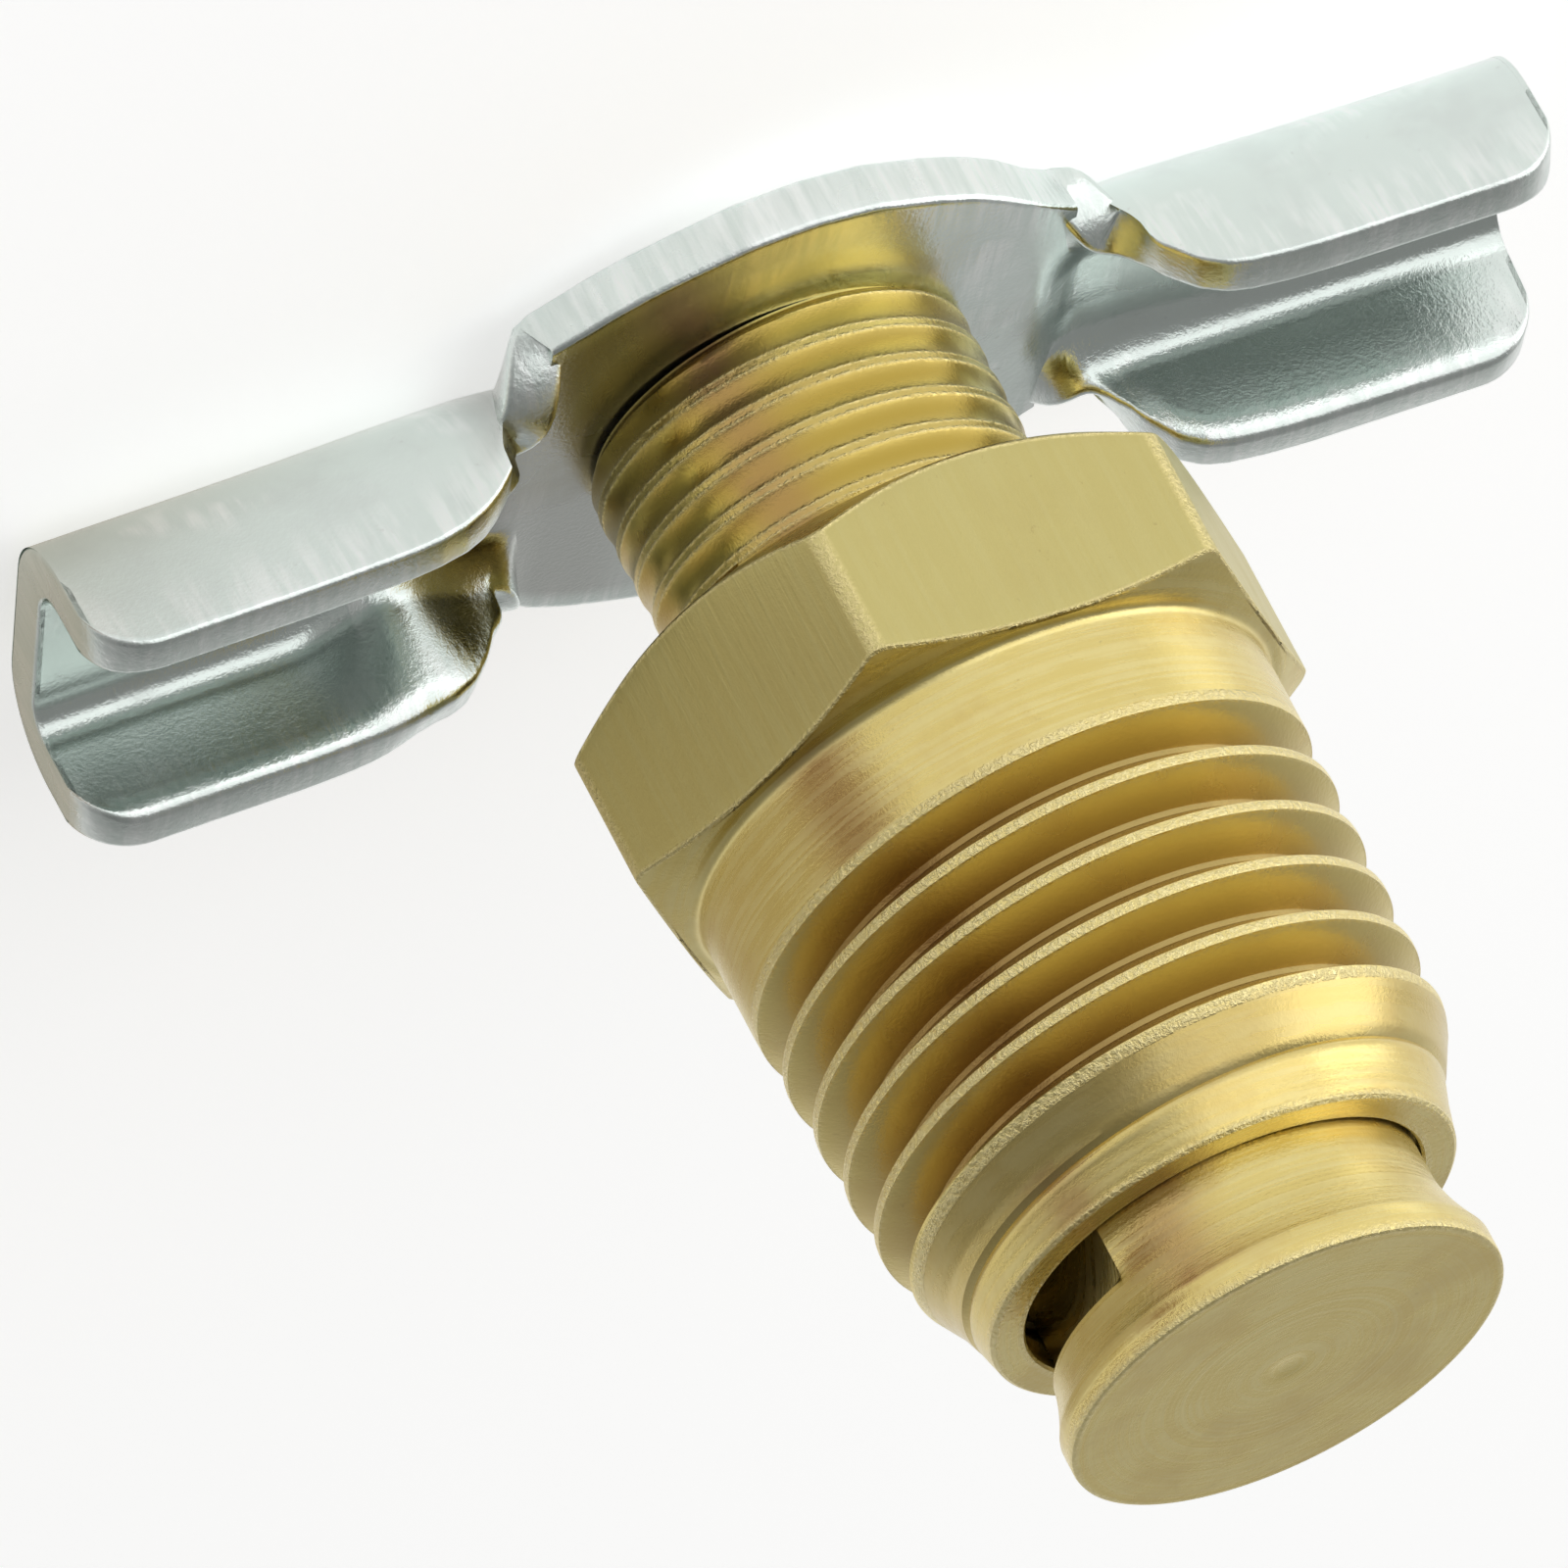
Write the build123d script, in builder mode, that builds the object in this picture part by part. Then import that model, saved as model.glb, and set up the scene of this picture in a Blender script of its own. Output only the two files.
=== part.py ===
"""Bleeder valve with a tapered pipe thread, an outside-seated stem and a pressed wing handle.

The valve stands on its handle: +Z runs along the axis from the handle to the
stem head, z = 0 is the riveted stem end, and the handle wings lie along X.
It is drawn as photographed, a turn and a half open. Threads are drawn plain,
at their outside sizes.
"""

import os
from math import cos, radians, tan

from build123d import *

os.makedirs("parts", exist_ok=True)

# Valve body: hexagon, pipe thread to 1/4-18 NPT and through bore
hex_across_flats = 14.29
hex_turn = -5.0
hex_height = 4.4
hex_corner_rise_handle_side = 0.9
hex_corner_rise_pipe_side = 0.5
hex_face_inset = 0.1
shank_length = 2.55
shank_radius = 6.75
shank_fillet = 0.2
pipe_thread_length = 7.0
pipe_taper = 1 / 16
lead_length = 2.4
body_rim_width = 0.8
bore_chamfer = 0.3

# Stem: thread, neck, drain flat and the head that closes on the bore mouth
stem_thread_pitch = 25.4 / 28
stem_thread_radius = 4.5
stem_exposed_length = 6.0
thread_end_chamfer = 0.25
neck_step = 0.1
neck_entry_length = 6.5
drain_flat_depth = 1.08
drain_flat_past_hex = 1.5
open_turns = 1.5
seat_half_angle = 20.0
head_radius = 5.1
head_rim_height = 0.6
head_edge = 0.08
rivet_radius = 2.9
rivet_head_radius = 3.9
rivet_head_height = 0.7
rivet_head_edge = 0.25

# Wing handle, pressed from sheet
sheet = 1.2
hub_radius = 7.45
wing_reach = 17.65
wing_half_width = 3.8
flange_depth = 4.4
bend_radius = 0.9
flange_foot_x = 7.3
flange_top_x = 8.2
flange_root_round = 1.8
flange_tip_round = 1.5

# Clearances
neck_clearance = 0.08
rivet_hole_clearance = 0.05

# Places that follow from the sizes
plate_out_z = rivet_head_height
plate_in_z = plate_out_z + sheet
hex_face_z = plate_in_z + stem_exposed_length
shoulder_z = hex_face_z + hex_height
thread_start_z = shoulder_z + shank_length
lead_start_z = thread_start_z + pipe_thread_length
body_end_z = lead_start_z + lead_length

hex_flat_radius = hex_across_flats / 2
hex_corner_radius = hex_flat_radius / cos(radians(30))
neck_radius = stem_thread_radius + neck_step
bore_radius = neck_radius + neck_clearance
body_rim_radius = bore_radius + body_rim_width
thread_small_radius = shank_radius - pipe_taper / 2 * pipe_thread_length
hex_face_radius = hex_flat_radius - hex_face_inset

neck_start_z = body_end_z - neck_entry_length
seat_start_z = body_end_z + open_turns * stem_thread_pitch - neck_clearance / tan(radians(seat_half_angle))
seat_length = (head_radius - neck_radius) / tan(radians(seat_half_angle))
head_start_z = seat_start_z + seat_length
stem_end_z = head_start_z + head_rim_height
flat_start_z = hex_face_z - drain_flat_past_hex
flange_edge_z = plate_out_z + flange_depth
web_half_width = wing_half_width - bend_radius - sheet
bend_z = plate_in_z + bend_radius


with BuildPart() as valve_body:
    # Hexagon bar turned down to a cone at both ends
    with BuildSketch(Plane.XY.offset(hex_face_z)):
        RegularPolygon(hex_flat_radius, 6, major_radius=False, rotation=hex_turn)
    extrude(amount=hex_height)
    with BuildSketch(Plane.XZ):
        with BuildLine():
            Polyline(
                (0, hex_face_z),
                (hex_face_radius, hex_face_z),
                (hex_corner_radius, hex_face_z + hex_corner_rise_handle_side),
                (hex_corner_radius, shoulder_z - hex_corner_rise_pipe_side),
                (hex_face_radius, shoulder_z),
                (0, shoulder_z),
                close=True,
            )
        make_face()
    revolve(axis=Axis.Z, mode=Mode.INTERSECT)

    # Plain shank, tapered thread and lead-in cone
    with BuildSketch(Plane.XZ):
        with BuildLine():
            Polyline(
                (0, shoulder_z),
                (shank_radius, shoulder_z),
                (shank_radius, thread_start_z),
                (thread_small_radius, lead_start_z),
                (body_rim_radius, body_end_z),
                (0, body_end_z),
                close=True,
            )
        make_face()
    revolve(axis=Axis.Z)
    shoulder_edge = (
        valve_body.edges()
        .filter_by(GeomType.CIRCLE)
        .filter_by(lambda e: abs(e.radius - shank_radius) < 1e-6)
        .sort_by(Axis.Z)[0]
    )
    fillet(shoulder_edge, shank_fillet)

    # Through bore, broken at the handle side so that the thread starts clean
    with BuildSketch(Plane.XZ):
        with BuildLine():
            Polyline(
                (0, hex_face_z),
                (bore_radius + bore_chamfer, hex_face_z),
                (bore_radius, hex_face_z + bore_chamfer),
                (bore_radius, body_end_z),
                (0, body_end_z),
                close=True,
            )
        make_face()
    revolve(axis=Axis.Z, mode=Mode.SUBTRACT)

valve_body.part.label = "valve_body"
export_step(valve_body.part, "parts/valve_body.step")


with BuildPart() as stem:
    # Turned bar: rivet end, threaded length, neck, conical seat and head
    with BuildSketch(Plane.XZ):
        with BuildLine():
            Polyline(
                (0, 0),
                (rivet_head_radius - rivet_head_edge, 0),
                (rivet_head_radius, rivet_head_edge),
                (rivet_head_radius, plate_out_z),
                (rivet_radius, plate_out_z),
                (rivet_radius, plate_in_z),
                (stem_thread_radius - thread_end_chamfer, plate_in_z),
                (stem_thread_radius, plate_in_z + thread_end_chamfer),
                (stem_thread_radius, neck_start_z),
                (neck_radius, neck_start_z + neck_step),
                (neck_radius, seat_start_z),
                (head_radius, head_start_z),
                (head_radius, stem_end_z - head_edge),
                (head_radius - head_edge, stem_end_z),
                (0, stem_end_z),
                close=True,
            )
        make_face()
    revolve(axis=Axis.Z)

    # Flat milled along the side, the way out for the water
    with BuildSketch(Plane.XZ.offset(-neck_radius)):
        with BuildLine():
            Polyline(
                (neck_radius - drain_flat_depth, flat_start_z),
                (neck_radius + neck_clearance, flat_start_z),
                (neck_radius + neck_clearance, seat_start_z),
                (neck_radius - drain_flat_depth, seat_start_z),
                close=True,
            )
        make_face()
    extrude(amount=2 * neck_radius, mode=Mode.SUBTRACT)

stem.part.label = "stem"
export_step(stem.part, "parts/stem.step")


with BuildPart() as wing_handle:
    # Flat plate: round hub, square shoulders under the flanges and a web along each wing
    with BuildSketch(Plane.XY.offset(plate_out_z)):
        Circle(hub_radius)
        Rectangle(2 * flange_foot_x, 2 * hub_radius, mode=Mode.INTERSECT)
        Rectangle(2 * flange_foot_x, 2 * wing_half_width)
        Rectangle(2 * wing_reach, 2 * web_half_width)
        Circle(rivet_radius + rivet_hole_clearance, mode=Mode.SUBTRACT)
    extrude(amount=sheet)

    with BuildPart(mode=Mode.PRIVATE) as flanges:
        # Flange and its bend in section, drawn out along the wing
        with BuildSketch(Plane.YZ):
            with BuildLine():
                outside = CenterArc((web_half_width, bend_z), bend_radius + sheet, -90, 90)
                inside = CenterArc((web_half_width, bend_z), bend_radius, -90, 90)
                Line(outside @ 0, inside @ 0)
                Polyline(
                    outside @ 1,
                    (wing_half_width, flange_edge_z + sheet),
                    (wing_half_width - sheet, flange_edge_z + sheet),
                    inside @ 1,
                )
            make_face()
        extrude(amount=wing_reach + sheet)

        # Side view of the flange: leaning at the hub, round at the tip
        with BuildSketch(Plane.XZ):
            with BuildLine():
                Polyline(
                    (flange_foot_x, plate_out_z - sheet),
                    (wing_reach, plate_out_z - sheet),
                    (wing_reach, flange_edge_z),
                    (flange_top_x, flange_edge_z),
                    (flange_foot_x, plate_in_z),
                    close=True,
                )
            make_face()
            fillet(vertices().group_by(Axis.Y)[-1].sort_by(Axis.X)[-1], flange_tip_round)
            fillet(vertices().group_by(Axis.Y)[-1].sort_by(Axis.X)[0], flange_root_round)
        extrude(amount=-2 * wing_half_width, mode=Mode.INTERSECT)
        mirror(about=Plane.YZ)
        mirror(about=Plane.XZ)
    add(flanges.part)

wing_handle.part.label = "wing_handle"
export_step(wing_handle.part, "parts/wing_handle.step")
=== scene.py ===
"""Bleeder valve: turned brass body and stem with cut threads, and a pressed, bright plated wing handle."""

from math import atan2, cos, pi, radians, sin, tan

import bpy
import numpy as np
from mathutils import Matrix, Vector


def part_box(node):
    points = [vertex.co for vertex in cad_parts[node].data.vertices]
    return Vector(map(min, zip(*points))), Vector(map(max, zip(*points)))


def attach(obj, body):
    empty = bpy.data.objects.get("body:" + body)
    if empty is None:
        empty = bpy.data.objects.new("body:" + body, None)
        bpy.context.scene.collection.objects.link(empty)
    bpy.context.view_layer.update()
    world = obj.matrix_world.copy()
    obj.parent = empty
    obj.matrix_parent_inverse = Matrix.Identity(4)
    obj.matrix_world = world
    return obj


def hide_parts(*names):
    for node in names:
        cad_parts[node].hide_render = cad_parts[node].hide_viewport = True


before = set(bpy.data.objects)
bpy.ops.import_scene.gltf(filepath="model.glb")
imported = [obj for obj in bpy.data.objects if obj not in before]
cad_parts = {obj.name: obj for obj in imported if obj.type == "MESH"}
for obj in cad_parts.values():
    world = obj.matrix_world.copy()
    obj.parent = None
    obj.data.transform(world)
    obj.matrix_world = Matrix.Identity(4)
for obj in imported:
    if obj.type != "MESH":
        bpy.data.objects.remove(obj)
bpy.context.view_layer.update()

MM = 0.001

# Where the CAD solids are, in millimetres
body_low, body_high = (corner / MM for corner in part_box("valve_body"))
stem_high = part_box("stem")[1] / MM
handle_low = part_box("wing_handle")[0] / MM

# Camera of the photograph
CAMERA_AIM = Vector((3.396, 1.300, 9.925))
CAMERA_DISTANCE = 799.54
CAMERA_AZIMUTH = radians(20.94)
CAMERA_ELEVATION = radians(23.98)
CAMERA_ROLL = radians(-151.97)
CAMERA_LENS = 858.39
CAMERA_SENSOR = 36

# Valve body
HEX_FLAT = 14.29 / 2
HEX_TURN = radians(-5.0)
HEX_FACE_Z = body_low.z
HEX_HEIGHT = 4.4
HEX_CORNER_RADIUS = HEX_FLAT / cos(radians(30))
HEX_FACE_INSET = 0.1
HEX_FACE_RADIUS = HEX_FLAT - HEX_FACE_INSET
HEX_CORNER_ROUND = 0.55
HEX_EDGE = 0.05
HANDLE_SIDE_RISE = 0.9
PIPE_SIDE_RISE = 0.5
SHOULDER_Z = HEX_FACE_Z + HEX_HEIGHT
SHANK_RADIUS = 6.75
SHANK_FILLET = 0.2
SHANK_LENGTH = 2.55
THREAD_START_Z = SHOULDER_Z + SHANK_LENGTH
PIPE_THREAD_LENGTH = 7.0
THREAD_TAPER = 1 / 32
PIPE_PITCH = 25.4 / 18
PIPE_DEPTH = 0.9
PIPE_CREST_HALF = 0.11
PIPE_RUN_IN = radians(50)
PIPE_CREST_Z = 16.18
PIPE_CREST_ANGLE = radians(-89.5)
LEAD_START_Z = THREAD_START_Z + PIPE_THREAD_LENGTH
BODY_END_Z = body_high.z
# The lead-in is plain past the last crest, but for one shallow score a little beyond it
LAST_CREST = 4
LEAD_SCORE = 0.09
LEAD_SCORE_HALF = 0.12
LEAD_SCORE_OFF = 1.21
# Height above the start of the lead-in, and radius there
LEAD_PROFILE = ((-0.55, 6.62), (-0.05, 6.46), (1.05, 5.87), (1.65, 5.67), (2.4, 5.48))
BODY_RIM_RADIUS = 5.48
RIM_EDGE = 0.06
BORE_RADIUS = 4.68
BORE_CHAMFER = 0.3
BORE_THREAD_DEPTH = 0.26
BORE_CREST_HALF = 0.12
BORE_THREAD_SET_BACK = 0.3

# Stem
STEM_RADIUS = 4.5
STEM_PITCH = 25.4 / 28
STEM_DEPTH = 0.048
STEM_CREST_HALF = 0.1
STEM_CREST_Z = 5.70
STEM_CREST_ANGLE = radians(-90.0)
THREAD_END_CHAMFER = 0.25
RIVET_RADIUS = 2.9
RIVET_HEAD_RADIUS = 3.9
NECK_RADIUS = 4.6
NECK_ENTRY_LENGTH = 6.5
NECK_START_Z = BODY_END_Z - NECK_ENTRY_LENGTH
STEM_END_Z = stem_high.z
HEAD_RADIUS = 5.1
HEAD_RIM_HEIGHT = 0.6
HEAD_START_Z = STEM_END_Z - HEAD_RIM_HEIGHT
SEAT_HALF_ANGLE = radians(20)
SEAT_START_Z = HEAD_START_Z - (HEAD_RADIUS - NECK_RADIUS) / tan(SEAT_HALF_ANGLE)
FLARE_START_Z = SEAT_START_Z - 0.3
FLARE_POWER = 1.7
DRAIN_FLAT_DEPTH = 1.08
DRAIN_FLAT_PAST_HEX = 1.5
DRAIN_FLAT_RUN_OUT = 0.2
FLAT_X = NECK_RADIUS - DRAIN_FLAT_DEPTH
FLAT_START_Z = HEX_FACE_Z - DRAIN_FLAT_PAST_HEX

# Painted reflection: a brown streak down one side of the stem, the plain body and its thread, in degrees
# round the axis
STEM_REFLECTION_ANGLE = -58.0
STEM_REFLECTION_WIDTH = 11.0
BODY_REFLECTION_ANGLE = -43.0
BODY_REFLECTION_WIDTH = 8.0
BODY_REFLECTION_SHARE = 0.6
THREAD_REFLECTION_WIDTH = 34.0

# Metal colours and finish
BRASS = (0.70, 0.565, 0.205, 1)
BRASS_PALE = (0.74, 0.625, 0.27, 1)
BRASS_BROWN = (0.50, 0.32, 0.12, 1)
BRASS_GROOVE = (0.32, 0.205, 0.072, 1)
# Brown of the painted reflection streak
BRASS_REFLECTION_BROWN = (0.40, 0.235, 0.10, 1)
BRASS_DRAWN = (0.50, 0.445, 0.185, 1)
BRASS_GOLD = (0.47, 0.33, 0.06, 1)
BRASS_DARK = (0.35, 0.25, 0.10, 1)
BRASS_WORN = (0.81, 0.69, 0.34, 1)
ZINC = (0.67, 0.735, 0.705, 1)
ZINC_DULL = (0.635, 0.69, 0.665, 1)
ZINC_BRIGHT = (0.86, 0.88, 0.87, 1)
ZINC_DARK = (0.42, 0.42, 0.40, 1)
FLOOR = (0.9, 0.9, 0.9, 1)
FLOOR_GLOW = 0.51
FLOOR_ROUGHNESS = 0.9
BRASS_ROUGHNESS = 0.24
ZINC_ROUGHNESS = 0.14
# Roughness on top of that, by what the surface shows
DRAWN_ROUGH = 0.12
STREAK_ROUGH = 0.07
BROWN_ROUGH = 0.06
DULL_ROUGH = 0.1
SHEARED_ROUGH = 0.12
MIDDLE_ROUGH = 0.12
# How much of each tone shows
BROWN_SHARE = 0.22
DRAWN_SHARE = 0.75
BRASS_PIT_SHARE = 0.35
BODY_GROOVE_SHARE = 0.8
STEM_GROOVE_SHARE = 0.9
LEAD_BROWN = 0.45
RIM_BROWN = 0.2
STROKE_SHARE = 0.7
ZINC_PIT_SHARE = 0.3
# Darkness of the painted reflection of the body on the hub
HUB_REFLECTION_SHARE = 0.75
SHEARED_SHARE = 0.25
# Height of the marks in the surface, in millimetres
TURNED_RELIEF = 0.005
DRAWN_RELIEF = 0.012
WORN_RELIEF = 0.02
BRASS_GRAIN_RELIEF = 0.002
SHEARED_RELIEF = 0.01
STROKE_RELIEF = 0.004
ZINC_GRAIN_RELIEF = 0.0025
# Edges sharper than this stay sharp, in degrees
TURNED_SMOOTH = 28
PRESSED_SMOOTH = 40

# Wing handle
PLATE_OUT_Z = handle_low.z
SHEET = 1.2
WING_REACH = 17.42
EDGE_ROUND = 0.16
# The flanges' inner faces fall away towards their free edges
ROLL_WIDTH = 0.7
ROLL_DROP = 0.16
WING_HALF_WIDTH = 3.8
BEND_OUTSIDE = 2.1
TIP_ROUND = 1.5
# Each wing sits a little crooked: degrees about X, Y and Z at its root, +X wing first
WING_ROOT_X = 7.0
WING_TURNS = ((5.6, 1.4, 2.7), (3.6, 2.7, 3.4))
HUB_TILT = 1.5
# Bend of the near and far flange, degrees, +X wing first
FLANGE_BENDS = ((87.3, 91.8), (81.8, 84.3))
# Where along each wing its flanges begin to bend and are bent, +X wing first
BEND_RUN = ((5.9, 7.3), (6.8, 8.2))
# The far flange of the +X wing leans back at its root, and the webs are dished next to the hub
ROOT_LEAN = 17.0
ROOT_LEAN_X = 9.3
ROOT_LEAN_WIDTH = 1.2
FLANGE_RUN = 2.6
WEB_DISH = 0.35
DISH_BEGINS = (5.9, 7.5)
DISH_ENDS = (8.5, 14.0)
DISH_SIDE = (0.8, 3.0)
# Where the hub passes into the wings, and where the rows lie close together
WING_BLEND = (5.0, 8.6)
CLOSE_FROM = 5.0
CLOSE_TO = 9.6
# Half the developed width of the sheet against the distance from the middle, +X wing first
WING_OUTLINES = (
    ((0, 7.45), (1.5, 7.3), (3.05, 6.8), (4.0, 6.45), (4.8, 6.05), (5.4, 5.65), (5.85, 5.3), (6.05, 5.05),
     (6.25, 4.75), (6.45, 4.4), (6.65, 4.0), (6.8, 3.75), (6.88, 3.72), (6.95, 3.85), (7.07, 4.5),
     (7.35, 4.95), (7.77, 5.4), (8.2, 5.75), (8.74, 6.01), (9.4, 6.17), (10.15, 6.25), (12.4, 6.31),
     (20.0, 6.31)),
    ((0, 7.45), (1.5, 7.3), (3.05, 6.75), (4.0, 6.3), (4.8, 5.75), (5.4, 5.25), (6.0, 4.7), (6.6, 4.2),
     (7.1, 3.85), (7.5, 3.66), (7.7, 3.65), (7.82, 3.8), (8.02, 4.15), (8.34, 4.85), (8.94, 5.6),
     (9.4, 5.9), (9.83, 6.05), (10.8, 6.15), (11.78, 6.2), (20.0, 6.2)),
)


def deselect_all():
    if bpy.context.object and bpy.context.object.mode != "OBJECT":
        bpy.ops.object.mode_set(mode="OBJECT")
    bpy.ops.object.select_all(action="DESELECT")


def edit_all(piece):
    deselect_all()
    bpy.context.view_layer.objects.active = piece
    piece.select_set(True)
    bpy.ops.object.mode_set(mode="EDIT")
    bpy.ops.mesh.select_all(action="SELECT")


def grid_piece(name, x, y, z):
    """A grid primitive whose vertices go to the given places, one row and column each, in millimetres."""
    deselect_all()
    rows, columns = x.shape
    bpy.ops.mesh.primitive_grid_add(x_subdivisions=columns - 1, y_subdivisions=rows - 1, size=2)
    piece = bpy.context.object
    piece.name = name
    mesh = piece.data
    mesh.name = name
    flat = np.empty(len(mesh.vertices) * 3)
    mesh.vertices.foreach_get("co", flat)
    flat = flat.reshape(-1, 3)
    column = np.rint((flat[:, 0] + 1) / 2 * (columns - 1)).astype(int)
    row = np.rint((flat[:, 1] + 1) / 2 * (rows - 1)).astype(int)
    placed = np.stack([a[row, column] for a in (x, y, z)], 1) * MM
    mesh.vertices.foreach_set("co", placed.ravel())
    mesh.update()
    return piece, row, column


def store(piece, name, values):
    layer = piece.data.attributes.new(name, "FLOAT", "POINT")
    layer.data.foreach_set("value", np.asarray(values, np.float32))


def close_seams(piece):
    edit_all(piece)
    bpy.ops.mesh.remove_doubles(threshold=2e-6)
    bpy.ops.mesh.dissolve_degenerate(threshold=1e-6)
    bpy.ops.mesh.normals_make_consistent(inside=False)
    bpy.ops.object.mode_set(mode="OBJECT")


def smooth(piece, angle):
    deselect_all()
    piece.select_set(True)
    bpy.context.view_layer.objects.active = piece
    bpy.ops.object.shade_smooth_by_angle(angle=radians(angle))


def smoothstep(value, low, high):
    t = np.clip((value - low) / (high - low), 0, 1)
    return t * t * (3 - 2 * t)


def from_hex_corner(angle):
    return np.abs((angle - HEX_TURN + pi / 6) % (pi / 3) - pi / 6)


def painted_reflection_side(angles, middle, width):
    """One near the middle of the painted brown reflection streak, in degrees round the axis, and nought
    away from it.
    """
    return np.exp(-((np.degrees(angles) - middle) / width) ** 2)


def hex_radius(angle):
    """Distance from the axis to the hexagon, its corners slightly rounded."""
    away = from_hex_corner(angle)
    flat = HEX_FLAT / np.cos(pi / 6 - away)
    centre = (HEX_FLAT - HEX_CORNER_ROUND) / cos(pi / 6)
    round_end = atan2(HEX_CORNER_ROUND / 2, centre + HEX_CORNER_ROUND * cos(pi / 6))
    inside = np.maximum(HEX_CORNER_ROUND**2 - (centre * np.sin(away)) ** 2, 0)
    corner = centre * np.cos(away) + np.sqrt(inside)
    return np.where(away < round_end, corner, flat)


def from_crest(along, pitch):
    """Distance from the nearest crest's middle."""
    return np.abs((along + pitch / 2) % pitch - pitch / 2)


def cut_thread(off, crest_half, depth):
    """Depth of a V groove with a flat root."""
    return np.clip((off - crest_half) / tan(radians(30)), 0, depth)


def round_thread(off, pitch, crest_half, depth):
    """Depth of a shallow groove with a round root."""
    share = np.clip((off - crest_half) / (pitch / 2 - crest_half), 0, 1)
    return depth * share * (2 - share)


def helix_rows(start, end, pitch, hand, steps, angles, crest_z, crest_angle):
    """Heights of rows that follow a helix, with crests and roots along rows, and stop at both ends."""
    rise = hand * pitch * (angles - angles[0]) / (2 * pi)
    first = crest_z + hand * pitch * (angles[0] - crest_angle) / (2 * pi)
    turn = np.floor((start - first) / pitch) - 2
    count = int(np.ceil((end - start) / pitch)) + 4
    rows = np.concatenate([first + (turn + k) * pitch + np.asarray(steps) for k in range(count)])
    return np.clip(rows[:, None] + rise[None, :], start, end)


def ring_rows(points, angles):
    """Plain turned rows from (radius, height) points."""
    radius = np.array([p[0] for p in points])[:, None] * np.ones_like(angles)
    height = np.array([p[1] for p in points])[:, None] * np.ones_like(angles)
    return radius, height


def body_angles():
    # Starts at the back, where the thread runs in
    near = np.radians([0.0, 0.5, 1.0, 1.5, 1.9, 2.3, 3.0])
    plain = np.radians(np.arange(4.0, 28.6, 1.5))
    half = np.concatenate([near, plain, [pi / 6]])
    face = np.concatenate([half, pi / 3 - half[-2:0:-1]])
    return np.concatenate([HEX_TURN + k * pi / 3 + face for k in range(-4, 2)] + [[HEX_TURN + 2 * pi / 3]])


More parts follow.
